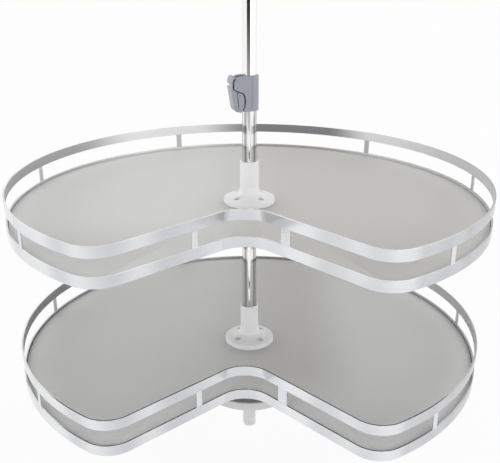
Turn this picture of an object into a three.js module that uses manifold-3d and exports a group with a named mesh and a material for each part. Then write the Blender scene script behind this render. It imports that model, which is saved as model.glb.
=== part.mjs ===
// Corner carousel: two equal three-quarter-round trays on one telescopic pole, for a corner cupboard.
// Millimetres, +Z up. The origin is the middle of the foot pin's flat end, on the pole's axis.
// The notch that clears the cupboard's front corner points along -Y.
import * as THREE from 'three';
import { mergeVertices } from 'three/addons/utils/BufferGeometryUtils.js';
import Module from 'manifold-3d';

const wasm = await Module();
wasm.setup();

// ---- Driving dimensions -------------------------------------------------------------------------

const trayRadius = 425;          // outer face of the rail bands
const notchHalfAngle = 45;       // degrees from -Y to each straight edge
const edgeOffset = 120;          // from the pole's axis to the line of a straight edge
const notchRadius = 51;          // outer face of the band in the bottom of the notch
const lobeRadius = 51;           // outer face of the band round each front corner

const bandThickness = 3;
const bandHeight = 18;
const railGap = 28;              // clear height between the lower and the upper band
const ledgeWidth = 5;            // lip inside the lower band, under the board's edge
const ledgeThickness = 1.5;
const postWidth = 11.5;
const widePostWidth = 20;        // of the one on the right straight edge
const postThickness = 2.2;
const arcPostAngles = [9.5, 54, 114, 165.5, 216.4, 315.8];   // degrees from +X, on the round rail
const leftEdgePost = 140.9;      // back along the left straight edge, from the front corner's arc
const rightEdgePost = 159.7;

const boardThickness = 10.5;
const matThickness = 1.5;
const boardClearance = 0.3;      // between the board's edge and the band

const poleDiameter = 25;
const poleWall = 1.5;
const slideClearance = 0.2;      // radial, between parts that slide on each other
const turnClearance = 0.3;       // radial and axial, between parts that turn on each other
const pressClearance = 0.1;      // radial, between parts fixed in each other

const footPinLength = 89;
const footPinChamfer = 1.5;
const floorDiscRadius = 92;
const floorDiscHeight = 16;
const floorDiscRim = 5;
const floorDiscRecess = 6;
const floorDiscRound = 1.5;
const floorBossRadius = 24;
const floorBossFillet = 2;
const floorBossHeight = 3;       // above the rim
const floorHoleCircle = 68;      // radius of the fixing holes' circle
const floorHoleRadius = 2.6;
const floorSinkRadius = 5;
const edgeChamfer = 1;           // on the lower edges of discs and the ends of pivots
const pivotRadius = 8;
const footPivotLength = 16;      // short of the lower tray's hub at its lowest
const washerRadius = 14.5;
const washerThickness = 2;
const plugFlange = 3;
const footPlugLength = 20;

const lowerTrayHeight = 90;      // underside of the disc to the bottom of the lower tray's band
const trayPitch = 282;
const clampMountHeight = 463;    // bottom of the lower tray's band to the bottom of the clamp
const jointInset = 10;           // bottom of the clamp to the joint between the two outer tubes
const interiorHeight = 750;      // cupboard floor to cupboard top, with the pole pushed together
const innerTubeBelow = 200;      // length of the inner tube below the joint
const innerTubeHeadroom = 5;     // from its top to the plug, with the pole pushed together

const ceilingPlateRadius = 32;
const ceilingPlateThickness = 6;
const ceilingBossRadius = 16;
const ceilingBossHeight = 5;
const ceilingHoleCircle = 24;
const ceilingHoleRadius = 2.3;
const topPivotLength = 22;
const topPlugLength = 26;
const tubeSlitWidth = 1.6;
const tubeSlitLength = 46;

const hubFlangeRadius = 46;
const hubRimHeight = 10;
const hubRimRound = 2;
const hubScrewCircle = 30;
const hubFaceHeight = 13;        // of the flange's top, above the board, at the screws' circle
const hubDomeHeight = 18;        // the same at the foot of the sleeve's fillet
const hubSleeveRadius = 16.75;
const hubSleeveHeight = 77;
const hubFilletWidth = 4;
const hubFilletHeight = 10;
const hubChamfer = 1.2;
const hubTail = 2;               // of the sleeve below the backing plate
const hubScrewRadius = 2.25;
const hubScrewHeadRadius = 4.3;
const hubScrewHeadHeight = 2.6;
const hubScrewHeadChamfer = 0.8;
const hubScrewTopHeight = 0.8;        // top of the head above the flange's top on the screws' circle
const hubScrewCrossDepth = 1.3;
const screwClearance = 0.3;
const backingPlateThickness = 3;
const setScrewRadius = 2.5;
const setScrewHeight = 55;       // above the board
const setScrewSocket = 1.3;      // radius of the hexagon socket
const setScrewSocketDepth = 1.5;

const clampTurn = 17;            // degrees, lever side turned towards the front
const clampHeight = 60;
const clampRadius = 16.5;        // round side, and half the width of the flat-sided lever side
const clampChamfer = 1.4;
const clampNoseRadius = 10.3;
const noseEnd = 218;             // degrees round the pin, where the nose meets the seam
const clampPinReach = 20.5;      // pole axis to lever pin
const clampPinDrop = 11.5;       // top of the clamp to the lever pin
const clampPinRadius = 2.5;
const clampPinCover = 1.5;       // plastic over both ends of the lever pin
const clampSeam = 0.8;           // gap between the body and the lever
const clampWebHalfWidth = 8;
const knuckleRadius = 14.8;
const knuckleStart = 130;        // degrees round the pin, kept clear of the pole when the lever opens
const knuckleEnd = 200;
const camOffset = 0.5;
const leverWall = 3.8;
const leverTaper = 5.2;
const leverFoot = 3;             // cut off the lower outer corner
const leverTopDrop = 1;          // top of the lever's flanks below the pin

const turnSegments = 36;         // sides of a large round part
const smallSegments = 12;        // sides of a screw or a hole
const arcStep = 6;               // degrees between points of the tray's outline

// ---- Derived levels and sizes -------------------------------------------------------------------

const poleRadius = poleDiameter / 2;
const poleBore = poleRadius - poleWall;
const sleeveBore = poleRadius + slideClearance;
const floorLevel = footPinLength;
const rimLevel = floorLevel + floorDiscHeight;
const bossLevel = rimLevel + floorBossHeight;
const plugLevel = bossLevel + washerThickness + turnClearance;
const poleStart = plugLevel + plugFlange;
const lowerTrayLevel = floorLevel + lowerTrayHeight;
const upperTrayLevel = lowerTrayLevel + trayPitch;
const clampLevel = lowerTrayLevel + clampMountHeight;
const jointLevel = clampLevel + jointInset;
const ceilingLevel = floorLevel + interiorHeight;
const ceilingPlateLevel = ceilingLevel - ceilingPlateThickness;
const ceilingBossLevel = ceilingPlateLevel - ceilingBossHeight;
const poleEnd = ceilingBossLevel - turnClearance - plugFlange;
const innerTubeTop = poleEnd - topPlugLength - innerTubeHeadroom;

const upperBandLevel = bandHeight + railGap;
const boardInset = bandThickness + boardClearance;
const boardLevel = ledgeThickness;
const matLevel = boardLevel + boardThickness;
const surfaceLevel = matLevel + matThickness;
const backingPlateLevel = boardLevel - backingPlateThickness;
const hubHoleRadius = hubSleeveRadius + screwClearance;

// Along a straight edge, from the foot of the perpendicular from the axis to the front corner's arc.
const straightEnd = Math.sqrt((trayRadius - lobeRadius) ** 2 - (edgeOffset - lobeRadius) ** 2);

// ---- Materials ----------------------------------------------------------------------------------

const finishes = {
  rail: { color: 0xd9dadc, roughness: 0.25, metalness: 0.9 },
  chrome: { color: 0xd4d2cf, roughness: 0.1, metalness: 1 },
  whitePlastic: { color: 0xe3e3e2, roughness: 0.35, metalness: 0 },
  greyPlastic: { color: 0xa1a4aa, roughness: 0.45, metalness: 0 },
  mat: { color: 0xbbbcbb, roughness: 0.85, metalness: 0 },
  board: { color: 0x6b6c6e, roughness: 0.7, metalness: 0 },
  zinc: { color: 0xb9bbbd, roughness: 0.35, metalness: 0.9 },
};

function piece(name, geometry, finish) {
  const mesh = new THREE.Mesh(geometry, new THREE.MeshStandardMaterial(finishes[finish]));
  mesh.name = name;
  return mesh;
}

// ---- Solids -------------------------------------------------------------------------------------

function solid(geometry) {
  const bare = geometry.clone();
  bare.deleteAttribute('normal');
  bare.deleteAttribute('uv');
  const merged = mergeVertices(bare, 1e-4);
  return new wasm.Manifold(new wasm.Mesh({
    numProp: 3,
    vertProperties: new Float32Array(merged.attributes.position.array),
    triVerts: new Uint32Array(merged.index.array),
  }));
}

function geometryOf(manifold) {
  const mesh = manifold.getMesh();
  const geometry = new THREE.BufferGeometry();
  geometry.setAttribute('position', new THREE.BufferAttribute(mesh.vertProperties, 3));
  geometry.setIndex(new THREE.BufferAttribute(mesh.triVerts, 1));
  geometry.computeVertexNormals();
  return geometry;
}

function cut(geometry, ...tools) {
  return geometryOf(tools.reduce((whole, tool) => whole.subtract(solid(tool)), solid(geometry)));
}

function join(...geometries) {
  return geometryOf(geometries.map(solid).reduce((whole, part) => whole.add(part)));
}

function radians(degrees) {
  return THREE.MathUtils.degToRad(degrees);
}

// A solid of revolution about Z from [radius, height] pairs that end on the axis or close themselves.
function turned(profile, segments = turnSegments) {
  const points = profile.map(([radius, height]) => new THREE.Vector2(radius, height));
  return new THREE.LatheGeometry(points, segments).rotateX(Math.PI / 2);
}

function ring(outer, inner, low, high, segments = turnSegments) {
  return turned([[inner, low], [outer, low], [outer, high], [inner, high], [inner, low]], segments);
}

function rod(radius, low, high, segments = smallSegments) {
  return turned([[0, low], [radius, low], [radius, high], [0, high]], segments);
}

// A flat outline raised along Z from low to high.
function raised(outline, holes, low, high) {
  const shape = new THREE.Shape(outline);
  shape.holes = holes.map((hole) => new THREE.Path(hole));
  const geometry = new THREE.ExtrudeGeometry(shape, { depth: high - low, bevelEnabled: false });
  return geometry.translate(0, 0, low);
}

function arc(x, y, radius, from, to, step = arcStep) {
  const count = Math.max(2, Math.ceil(Math.abs(to - from) / step));
  return Array.from({ length: count + 1 }, (_, i) => {
    const angle = radians(from + ((to - from) * i) / count);
    return new THREE.Vector2(x + radius * Math.cos(angle), y + radius * Math.sin(angle));
  });
}

function circle(x, y, radius, segments = smallSegments) {
  return arc(x, y, radius, 0, 360, 360 / segments).slice(0, -1);
}

// Four points on a circle, on the diagonals.
function diagonals(radius) {
  return [45, 135, 225, 315].map((angle) => new THREE.Vector2(
    radius * Math.cos(radians(angle)),
    radius * Math.sin(radians(angle)),
  ));
}

// ---- Tray outline -------------------------------------------------------------------------------

// The straight edges run at notchHalfAngle on both sides of -Y. Arcs join them to each other in the
// notch and to the big arc at the two front corners. Insetting keeps every arc's centre.
function lobeCentre() {
  const slope = radians(notchHalfAngle);
  const offset = edgeOffset - lobeRadius;
  return new THREE.Vector2(
    straightEnd * Math.sin(slope) - offset * Math.cos(slope),
    -straightEnd * Math.cos(slope) - offset * Math.sin(slope),
  );
}

function trayOutline(inset) {
  const slope = radians(notchHalfAngle);
  const centre = lobeCentre();
  const lobeEnd = THREE.MathUtils.radToDeg(Math.atan2(centre.y, centre.x));
  const notchCentre = -(edgeOffset + notchRadius) / Math.sin(slope);
  const lobeStart = notchHalfAngle - 180;
  return [
    ...arc(0, notchCentre, notchRadius + inset, 180 - notchHalfAngle, notchHalfAngle),
    ...arc(centre.x, centre.y, lobeRadius - inset, lobeStart, lobeEnd, 2 * arcStep),
    ...arc(0, 0, trayRadius - inset, lobeEnd, 180 - lobeEnd).slice(1, -1),
    ...arc(-centre.x, centre.y, lobeRadius - inset, 180 - lobeEnd, 180 - lobeStart, 2 * arcStep),
  ];
}

// ---- Tray pieces --------------------------------------------------------------------------------

function band(low) {
  return raised(trayOutline(0), [trayOutline(bandThickness)], low, low + bandHeight);
}

// The lower band carries the board on a thin lip along its bottom edge.
function lowerBand() {
  const lipInset = bandThickness + ledgeWidth;
  const lip = raised(trayOutline(bandThickness / 2), [trayOutline(lipInset)], 0, ledgeThickness);
  return join(band(0), lip);
}

function boardLayer(low, high) {
  const holes = [
    circle(0, 0, hubHoleRadius, turnSegments),
    ...diagonals(hubScrewCircle).map((at) => circle(at.x, at.y, hubScrewRadius + screwClearance)),
  ];
  return raised(trayOutline(boardInset), holes, low, high);
}

// Each post stands on the middle of the band's thickness: [x, y, turn about Z in degrees, width].
function postPlaces() {
  const middle = trayRadius - bandThickness / 2;
  const slope = radians(notchHalfAngle);
  const offset = edgeOffset - bandThickness / 2;
  const places = arcPostAngles.map((angle) => [
    middle * Math.cos(radians(angle)),
    middle * Math.sin(radians(angle)),
    angle + 90,
    postWidth,
  ]);
  for (const [side, back, width] of [[-1, leftEdgePost, postWidth], [1, rightEdgePost, widePostWidth]]) {
    const along = straightEnd - back;
    places.push([
      side * (along * Math.sin(slope) - offset * Math.cos(slope)),
      -along * Math.cos(slope) - offset * Math.sin(slope),
      side * (notchHalfAngle - 90),
      width,
    ]);
  }
  return places;
}

function post(width) {
  return new THREE.BoxGeometry(width, postThickness, railGap).translate(0, 0, bandHeight + railGap / 2);
}

// ---- Hub, its screws and backing plate ----------------------------------------------------------

const screwTop = surfaceLevel + hubFaceHeight + hubScrewTopHeight;

function hub() {
  const tail = backingPlateLevel - hubTail;
  const top = surfaceLevel + hubSleeveHeight;
  const filletFoot = surfaceLevel + hubDomeHeight;
  const body = turned([
    [sleeveBore, tail],
    [hubSleeveRadius, tail],
    [hubSleeveRadius, surfaceLevel],
    [hubFlangeRadius, surfaceLevel],
    [hubFlangeRadius, surfaceLevel + hubRimHeight - hubRimRound],
    [hubFlangeRadius - hubRimRound, surfaceLevel + hubRimHeight],
    [hubScrewCircle, surfaceLevel + hubFaceHeight],
    [hubSleeveRadius + hubFilletWidth, filletFoot],
    [hubSleeveRadius + 0.25 * hubFilletWidth, filletFoot + 0.4 * hubFilletHeight],
    [hubSleeveRadius, filletFoot + hubFilletHeight],
    [hubSleeveRadius, top - hubChamfer],
    [hubSleeveRadius - hubChamfer, top],
    [sleeveBore, top],
    [sleeveBore, tail],
  ]);
  const seat = screwTop - hubScrewHeadHeight - screwClearance;
  const holes = diagonals(hubScrewCircle).flatMap((at) => [
    rod(hubScrewRadius + screwClearance, surfaceLevel - 1, seat + 1).translate(at.x, at.y, 0),
    rod(hubScrewHeadRadius + screwClearance, seat, filletFoot + hubFilletHeight).translate(at.x, at.y, 0),
  ]);
  const tapped = rod(setScrewRadius + screwClearance, 0, 2 * hubSleeveRadius);
  tapped.rotateX(-Math.PI / 2).translate(0, 0, surfaceLevel + setScrewHeight);
  return cut(body, ...holes, tapped);
}

function hubScrew() {
  const shoulder = screwTop - hubScrewHeadHeight;
  const body = turned([
    [0, backingPlateLevel],
    [hubScrewRadius, backingPlateLevel],
    [hubScrewRadius, shoulder],
    [hubScrewHeadRadius, shoulder],
    [hubScrewHeadRadius, screwTop - hubScrewHeadChamfer],
    [hubScrewHeadRadius - hubScrewHeadChamfer, screwTop],
    [0, screwTop],
  ], smallSegments);
  const arm = hubScrewHeadRadius * 1.2;
  const slot = arm / 4;
  const cross = [[arm, slot], [slot, arm]].map(([x, y]) => (
    new THREE.BoxGeometry(x, y, 2 * hubScrewCrossDepth).translate(0, 0, screwTop)
  ));
  return cut(body, join(...cross));
}

function backingPlate() {
  const holes = [
    circle(0, 0, hubHoleRadius, turnSegments),
    ...diagonals(hubScrewCircle).map((at) => circle(at.x, at.y, hubScrewRadius + screwClearance)),
  ];
  return raised(circle(0, 0, hubFlangeRadius, turnSegments), holes, backingPlateLevel, boardLevel);
}

function setScrew() {
  const tip = poleRadius + turnClearance;
  const head = hubSleeveRadius - setScrewSocket / 2;
  const body = rod(setScrewRadius, tip, head);
  const socket = rod(setScrewSocket, head - setScrewSocketDepth, head + 1, 6);
  return cut(body, socket).rotateX(-Math.PI / 2).translate(0, 0, surfaceLevel + setScrewHeight);
}

// ---- One whole tray -----------------------------------------------------------------------------

function tray(prefix, level) {
  const group = new THREE.Group();
  group.add(piece(`${prefix}_tray_board`, boardLayer(boardLevel, matLevel), 'board'));
  group.add(piece(`${prefix}_tray_mat`, boardLayer(matLevel, surfaceLevel), 'mat'));
  group.add(piece(`${prefix}_rail_lower_band`, lowerBand(), 'rail'));
  group.add(piece(`${prefix}_rail_upper_band`, band(upperBandLevel), 'rail'));
  postPlaces().forEach(([x, y, turn, width], i) => {
    const upright = piece(`${prefix}_rail_post_${i + 1}`, post(width), 'rail');
    upright.position.set(x, y, 0);
    upright.rotation.z = radians(turn);
    group.add(upright);
  });
  group.add(piece(`${prefix}_hub`, hub(), 'whitePlastic'));
  group.add(piece(`${prefix}_hub_backing_plate`, backingPlate(), 'zinc'));
  diagonals(hubScrewCircle).forEach((at, i) => {
    const screw = piece(`${prefix}_hub_screw_${i + 1}`, hubScrew(), 'whitePlastic');
    screw.position.set(at.x, at.y, 0);
    group.add(screw);
  });
  group.add(piece(`${prefix}_hub_set_screw`, setScrew(), 'zinc'));
  group.position.z = level;
  return group;
}

// ---- Foot: pin, disc and pivot in one moulding --------------------------------------------------

function floorBearing() {
  const dish = rimLevel - floorDiscRecess;
  const pivotTop = bossLevel + footPivotLength;
  const body = turned([
    [0, 0],
    [poleRadius - footPinChamfer, 0],
    [poleRadius, footPinChamfer],
    [poleRadius, floorLevel],
    [floorDiscRadius - edgeChamfer, floorLevel],
    [floorDiscRadius, floorLevel + edgeChamfer],
    [floorDiscRadius, rimLevel - floorDiscRound],
    [floorDiscRadius - floorDiscRound, rimLevel],
    [floorDiscRadius - floorDiscRim, rimLevel],
    [floorDiscRadius - floorDiscRim - edgeChamfer, dish],
    [floorBossRadius + floorBossFillet, dish],
    [floorBossRadius, dish + floorBossFillet],
    [floorBossRadius, bossLevel],
    [pivotRadius, bossLevel],
    [pivotRadius, pivotTop - edgeChamfer],
    [pivotRadius - edgeChamfer, pivotTop],
    [0, pivotTop],
  ]);
  const holes = diagonals(floorHoleCircle).map((at) => turned([
    [0, floorLevel - 1],
    [floorHoleRadius, floorLevel - 1],
    [floorHoleRadius, dish - (floorSinkRadius - floorHoleRadius)],
    [floorSinkRadius, dish],
    [floorSinkRadius, dish + 1],
    [0, dish + 1],
  ], smallSegments).translate(at.x, at.y, 0));
  return cut(body, ...holes);
}

function thrustWasher() {
  return ring(washerRadius, pivotRadius + turnClearance, bossLevel, bossLevel + washerThickness);
}

function footPlug() {
  const bore = pivotRadius + turnClearance;
  const tight = poleBore - pressClearance;
  return turned([
    [bore, plugLevel],
    [poleRadius, plugLevel],
    [poleRadius, poleStart],
    [tight, poleStart],
    [tight, poleStart + footPlugLength],
    [bore, poleStart + footPlugLength],
    [bore, plugLevel],
  ]);
}

// ---- Pole ---------------------------------------------------------------------------------------

function lowerTube() {
  return ring(poleRadius, poleBore, poleStart, jointLevel - turnClearance);
}

function innerTube() {
  const outer = poleBore - slideClearance;
  return ring(outer, outer - poleWall, jointLevel - innerTubeBelow, innerTubeTop);
}

// The upper tube's lower end is slit, so that the clamp can squeeze it on to the inner tube.
function upperTube() {
  const tube = ring(poleRadius, poleBore, jointLevel, poleEnd);
  const slit = new THREE.BoxGeometry(poleDiameter, tubeSlitWidth, 2 * tubeSlitLength);
  slit.translate(poleRadius, 0, jointLevel);
  slit.rotateZ(radians(clampTurn));
  return cut(tube, slit);
}

function topPlug() {
  const bore = pivotRadius + turnClearance;
  const tight = poleBore - pressClearance;
  return turned([
    [bore, poleEnd - topPlugLength],
    [tight, poleEnd - topPlugLength],
    [tight, poleEnd],
    [poleRadius, poleEnd],
    [poleRadius, poleEnd + plugFlange],
    [bore, poleEnd + plugFlange],
    [bore, poleEnd - topPlugLength],
  ]);
}

function ceilingPlate() {
  const pivotEnd = ceilingBossLevel - topPivotLength;
  const body = turned([
    [0, pivotEnd],
    [pivotRadius - edgeChamfer, pivotEnd],
    [pivotRadius, pivotEnd + edgeChamfer],
    [pivotRadius, ceilingBossLevel],
    [ceilingBossRadius, ceilingBossLevel],
    [ceilingBossRadius, ceilingPlateLevel],
    [ceilingPlateRadius - edgeChamfer, ceilingPlateLevel],
    [ceilingPlateRadius, ceilingPlateLevel + edgeChamfer],
    [ceilingPlateRadius, ceilingLevel],
    [0, ceilingLevel],
  ]);
  const holes = diagonals(ceilingHoleCircle).map((at) => (
    rod(ceilingHoleRadius, ceilingPlateLevel - 1, ceilingLevel + 1).translate(at.x, at.y, 0)
  ));
  return cut(body, ...holes);
}

// ---- Quick-release clamp ------------------------------------------------------------------------

// The clamp is drawn with its lever towards -X and its bottom at zero, then turned and lifted.
const pinHeight = clampHeight - clampPinDrop;
const pinHalfLength = clampRadius - clampPinCover;
const lugTop = pinHeight + clampNoseRadius;

// A side view in X and Z, given thickness along Y.
function sideways(outline, halfWidth) {
  const shape = new THREE.Shape(outline);
  const geometry = new THREE.ExtrudeGeometry(shape, { depth: 2 * halfWidth, bevelEnabled: false });
  return geometry.rotateX(Math.PI / 2).translate(0, halfWidth, 0);
}

function pinRod(radius, halfWidth, segments = smallSegments) {
  return rod(radius, -halfWidth, halfWidth, segments)
    .rotateX(Math.PI / 2)
    .translate(-clampPinReach, 0, pinHeight);
}

function polar(radius, angle) {
  return new THREE.Vector2(
    -clampPinReach + radius * Math.cos(radians(angle)),
    pinHeight + radius * Math.sin(radians(angle)),
  );
}

// Below the nose the body and the lever part along one wavy seam, from the nose's under edge down:
// shares of the clamp's radius and height.
const seamShape = [[-0.87, 0.53], [-0.7, 0.42], [-0.66, 0.3], [-0.68, 0.17], [-0.8, 0.07], [-0.93, 0]];

function seamLine(gap) {
  return seamShape.map(([x, z]) => new THREE.Vector2(
    x * clampRadius - gap,
    Math.max(0, z * clampHeight - gap),
  ));
}

function clampBody() {
  const collar = turned([
    [0, 0],
    [clampRadius - clampChamfer, 0],
    [clampRadius, clampChamfer],
    [clampRadius, clampHeight - clampChamfer],
    [clampRadius - clampChamfer, clampHeight],
    [0, clampHeight],
  ]);
  const lug = sideways([
    new THREE.Vector2(0, lugTop),
    ...arc(-clampPinReach, pinHeight, clampNoseRadius, 90, noseEnd, 2 * arcStep),
    ...seamLine(0),
    new THREE.Vector2(0, 0),
  ], clampRadius);
  const bore = rod(sleeveBore, -1, clampHeight + 1, turnSegments);
  const webRoom = pinRod(knuckleRadius + clampSeam, clampWebHalfWidth + clampSeam, turnSegments);
  const pinHole = pinRod(clampPinRadius + pressClearance, pinHalfLength + pressClearance);
  return cut(join(collar, lug), bore, webRoom, pinHole);
}

// The grip fills the side view outside the nose and wraps the collar. The web reaches the pin between
// the body's ears: its knuckle shows at the top and its off-centre cam bears on the tube.
function clampLever() {
  const reach = clampPinReach + clampNoseRadius + leverWall;
  const gripTop = pinHeight - leverTopDrop;
  const grip = sideways([
    ...arc(-clampPinReach, pinHeight, clampNoseRadius + clampSeam, 185, noseEnd, 2 * arcStep),
    ...seamLine(clampSeam),
    new THREE.Vector2(-reach + leverTaper + leverFoot, leverFoot),
    new THREE.Vector2(-reach + leverTaper, 3 * leverFoot),
    new THREE.Vector2(-reach, gripTop - leverFoot),
    new THREE.Vector2(-reach + leverFoot / 4, gripTop),
  ], clampRadius);
  const knuckle = sideways([
    ...arc(-clampPinReach, pinHeight, knuckleRadius, knuckleStart, knuckleEnd, 2 * arcStep),
    polar(clampNoseRadius / 2, knuckleEnd),
    polar(clampNoseRadius / 2, knuckleStart),
  ], clampWebHalfWidth);
  const camReach = clampPinReach - poleRadius - turnClearance;
  const cam = pinRod(camReach - camOffset, clampWebHalfWidth, turnSegments / 2).translate(camOffset, 0, 0);
  const collarRoom = rod(clampRadius + clampSeam, -clampHeight, 2 * clampHeight, turnSegments);
  const pinHole = pinRod(clampPinRadius + turnClearance, pinHalfLength);
  return cut(join(cut(grip, collarRoom), knuckle, cam), pinHole);
}

function clampPin() {
  return pinRod(clampPinRadius, pinHalfLength);
}

function clamp() {
  const group = new THREE.Group();
  group.add(piece('clamp_body', clampBody(), 'greyPlastic'));
  group.add(piece('clamp_lever', clampLever(), 'greyPlastic'));
  group.add(piece('clamp_lever_pin', clampPin(), 'zinc'));
  group.position.z = clampLevel;
  group.rotation.z = radians(clampTurn);
  return group;
}

// ---- The whole carousel -------------------------------------------------------------------------

const carousel = new THREE.Group();
carousel.add(
  piece('floor_bearing', floorBearing(), 'whitePlastic'),
  piece('thrust_washer', thrustWasher(), 'whitePlastic'),
  piece('pole_foot_plug', footPlug(), 'greyPlastic'),
  piece('lower_pole_tube', lowerTube(), 'chrome'),
  piece('inner_pole_tube', innerTube(), 'zinc'),
  piece('upper_pole_tube', upperTube(), 'chrome'),
  piece('pole_top_plug', topPlug(), 'greyPlastic'),
  piece('ceiling_plate', ceilingPlate(), 'whitePlastic'),
  tray('lower', lowerTrayLevel),
  tray('upper', upperTrayLevel),
  clamp(),
);

export default carousel;
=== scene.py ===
import math

import bmesh
import bpy
import numpy as np
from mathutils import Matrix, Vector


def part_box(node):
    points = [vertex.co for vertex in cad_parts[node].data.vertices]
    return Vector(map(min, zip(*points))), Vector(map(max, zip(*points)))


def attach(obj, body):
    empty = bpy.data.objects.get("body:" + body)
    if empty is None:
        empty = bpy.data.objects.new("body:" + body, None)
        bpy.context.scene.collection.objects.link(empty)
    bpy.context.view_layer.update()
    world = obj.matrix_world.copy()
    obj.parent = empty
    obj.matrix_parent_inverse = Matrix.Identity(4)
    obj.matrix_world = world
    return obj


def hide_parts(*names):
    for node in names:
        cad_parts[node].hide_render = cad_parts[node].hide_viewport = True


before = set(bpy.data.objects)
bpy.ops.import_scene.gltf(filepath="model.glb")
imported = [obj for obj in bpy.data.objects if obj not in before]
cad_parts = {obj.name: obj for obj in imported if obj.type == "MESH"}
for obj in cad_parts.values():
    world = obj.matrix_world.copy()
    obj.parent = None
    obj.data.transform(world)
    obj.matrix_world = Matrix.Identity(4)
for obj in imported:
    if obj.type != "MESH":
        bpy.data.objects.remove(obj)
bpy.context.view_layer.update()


# ---- Studio ---------------------------------------------------------------------------------------
# The carousel stands on the end of its foot pin, on a wide pale floor. White light comes softly from
# all sides, mostly from low down, so that it reaches in between the trays, and two weak lamps add to
# it. A dark screen behind the camera gives the bright metal the dark streaks of a real room.

class Wire:
    """The output of one shader node. Python's arithmetic on it adds Math nodes."""

    def __init__(self, finish, socket):
        self.finish = finish
        self.socket = socket

    def maths(self, operation, *values):
        """A Math node of that operation, fed by the values."""
        return self.finish.node("ShaderNodeMath", {"operation": operation}, dict(enumerate(values)))

    def __add__(self, other):
        return self.maths("ADD", self, other)

    def __radd__(self, other):
        return self.maths("ADD", other, self)

    def __sub__(self, other):
        return self.maths("SUBTRACT", self, other)

    def __rsub__(self, other):
        return self.maths("SUBTRACT", other, self)

    def __mul__(self, other):
        return self.maths("MULTIPLY", self, other)

    def __rmul__(self, other):
        return self.maths("MULTIPLY", other, self)

    def __pow__(self, other):
        return self.maths("POWER", self, other)

    def __abs__(self):
        return self.maths("ABSOLUTE", self)

    def sine(self):
        """The sine of the value, an angle in radians."""
        return self.maths("SINE", self)

    def ramp(self, low, high):
        """0 below low, 1 above high, and a smooth rise between them."""
        inputs = {"Value": self, "From Min": low, "From Max": high}
        return self.finish.node("ShaderNodeMapRange", {"interpolation_type": "SMOOTHSTEP"}, inputs)


class Finish:
    """The node tree of one surface finish, or of the light all round."""

    def __init__(self, owner):
        self.owner = owner
        owner.use_nodes = True
        self.tree = owner.node_tree
        self.tree.nodes.clear()

    def node(self, kind, settings=None, inputs=None, output=0):
        """Adds a node of that type: its settings first, then the values or links of its sockets."""
        node = self.tree.nodes.new(kind)
        for key, value in (settings or {}).items():
            setattr(node, key, value)
        for key, value in (inputs or {}).items():
            if isinstance(value, Wire):
                self.tree.links.new(value.socket, node.inputs[key])
            else:
                node.inputs[key].default_value = value
        return Wire(self, node.outputs[output]) if node.outputs else node

    def place(self, source="Object", scale=(1, 1, 1)):
        """The point of the surface, in metres, stretched by scale."""
        point = self.node("ShaderNodeTexCoord", output=source)
        return self.node("ShaderNodeMapping", inputs={"Vector": point, "Scale": scale})

    def parts(self, vector):
        """The three numbers of a vector."""
        split = self.node("ShaderNodeSeparateXYZ", inputs={"Vector": vector})
        return [Wire(self, socket) for socket in split.socket.node.outputs]

    def cloud(self, place, scale, detail=2):
        """Soft random mottling, from 0 to 1, with that many blobs to the metre."""
        inputs = {"Vector": place, "Scale": scale, "Detail": detail, "Roughness": 0.5}
        return self.node("ShaderNodeTexNoise", inputs=inputs)

    def colours(self, factor, first, second):
        """From the first colour to the second as the factor goes from 0 to 1."""
        inputs = {0: factor, 6: first, 7: second}
        return self.node("ShaderNodeMix", {"data_type": "RGBA"}, inputs, output=2)

    def bumps(self, height, distance, strength):
        """The surface's normal where it stands that many metres proud at a height of 1."""
        inputs = {"Height": height, "Distance": distance, "Strength": strength}
        return self.node("ShaderNodeBump", inputs=inputs)

    def close(self, shader, kind="ShaderNodeOutputMaterial"):
        """Joins the shader to the tree's output, and gives back the finished material or light."""
        self.node(kind, inputs={"Surface": shader})
        return self.owner

    def solid(self, inputs):
        """The material of a solid surface with those inputs."""
        return self.close(self.node("ShaderNodeBsdfPrincipled", inputs=inputs))


def rgb(red, green, blue):
    """A colour as it is on the screen, 0 to 255, turned into linear light."""
    share = np.array((red, green, blue)) / 255
    linear = np.where(share <= 0.04045, share / 12.92, ((share + 0.055) / 1.055) ** 2.4)
    return (*linear.tolist(), 1.0)


camera_place = (0.04074, -1.3311, 0.9095)
camera_dip = math.radians(22.5416)      # below the horizon
camera_turn = math.asin(0.0304)         # to the left of straight ahead
camera = bpy.data.objects.new("camera", bpy.data.cameras.new("camera"))
camera.location = camera_place
camera.rotation_euler = (math.pi / 2 - camera_dip, 0, camera_turn)
camera.data.lens = 55.374
camera.data.sensor_width = 36
camera.data.shift_x = 0.001
camera.data.shift_y = 0.0606
bpy.context.scene.collection.objects.link(camera)
bpy.context.scene.camera = camera
bpy.context.scene.view_settings.view_transform = "Standard"


def seen_by_eye(finish):
    """1 for rays that come from the camera or from a reflection, 0 for those that carry the light."""
    path = finish.node("ShaderNodeLightPath").socket.node.outputs
    rays = [Wire(finish, path[name]) for name in ("Is Camera Ray", "Is Glossy Ray", "Is Transmission Ray")]
    return rays[0].maths("MAXIMUM", rays[0], rays[1].maths("MAXIMUM", rays[1], rays[2]))


def sky():
    """Plain white to the eye. Its light falls off from the horizon to straight above. More of it comes
    from behind the carousel, and a little more from the left."""
    horizon, zenith = 2.35, 0.3
    finish = Finish(bpy.data.worlds.new("soft_white_light"))
    eye = seen_by_eye(finish)
    right, behind, rise = finish.parts(finish.place("Generated"))
    glow = horizon - (horizon - zenith) * rise.ramp(0.3, 0.82)
    strength = glow * (1 - 0.08 * right + 0.3 * behind)
    light = finish.node("ShaderNodeBackground", inputs={"Color": rgb(255, 254, 252), "Strength": strength})
    white = finish.node("ShaderNodeBackground", inputs={"Color": (1, 1, 1, 1), "Strength": 1.0})
    both = finish.node("ShaderNodeMixShader", inputs={0: eye, 1: light, 2: white})
    return finish.close(both, "ShaderNodeOutputWorld")


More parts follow.
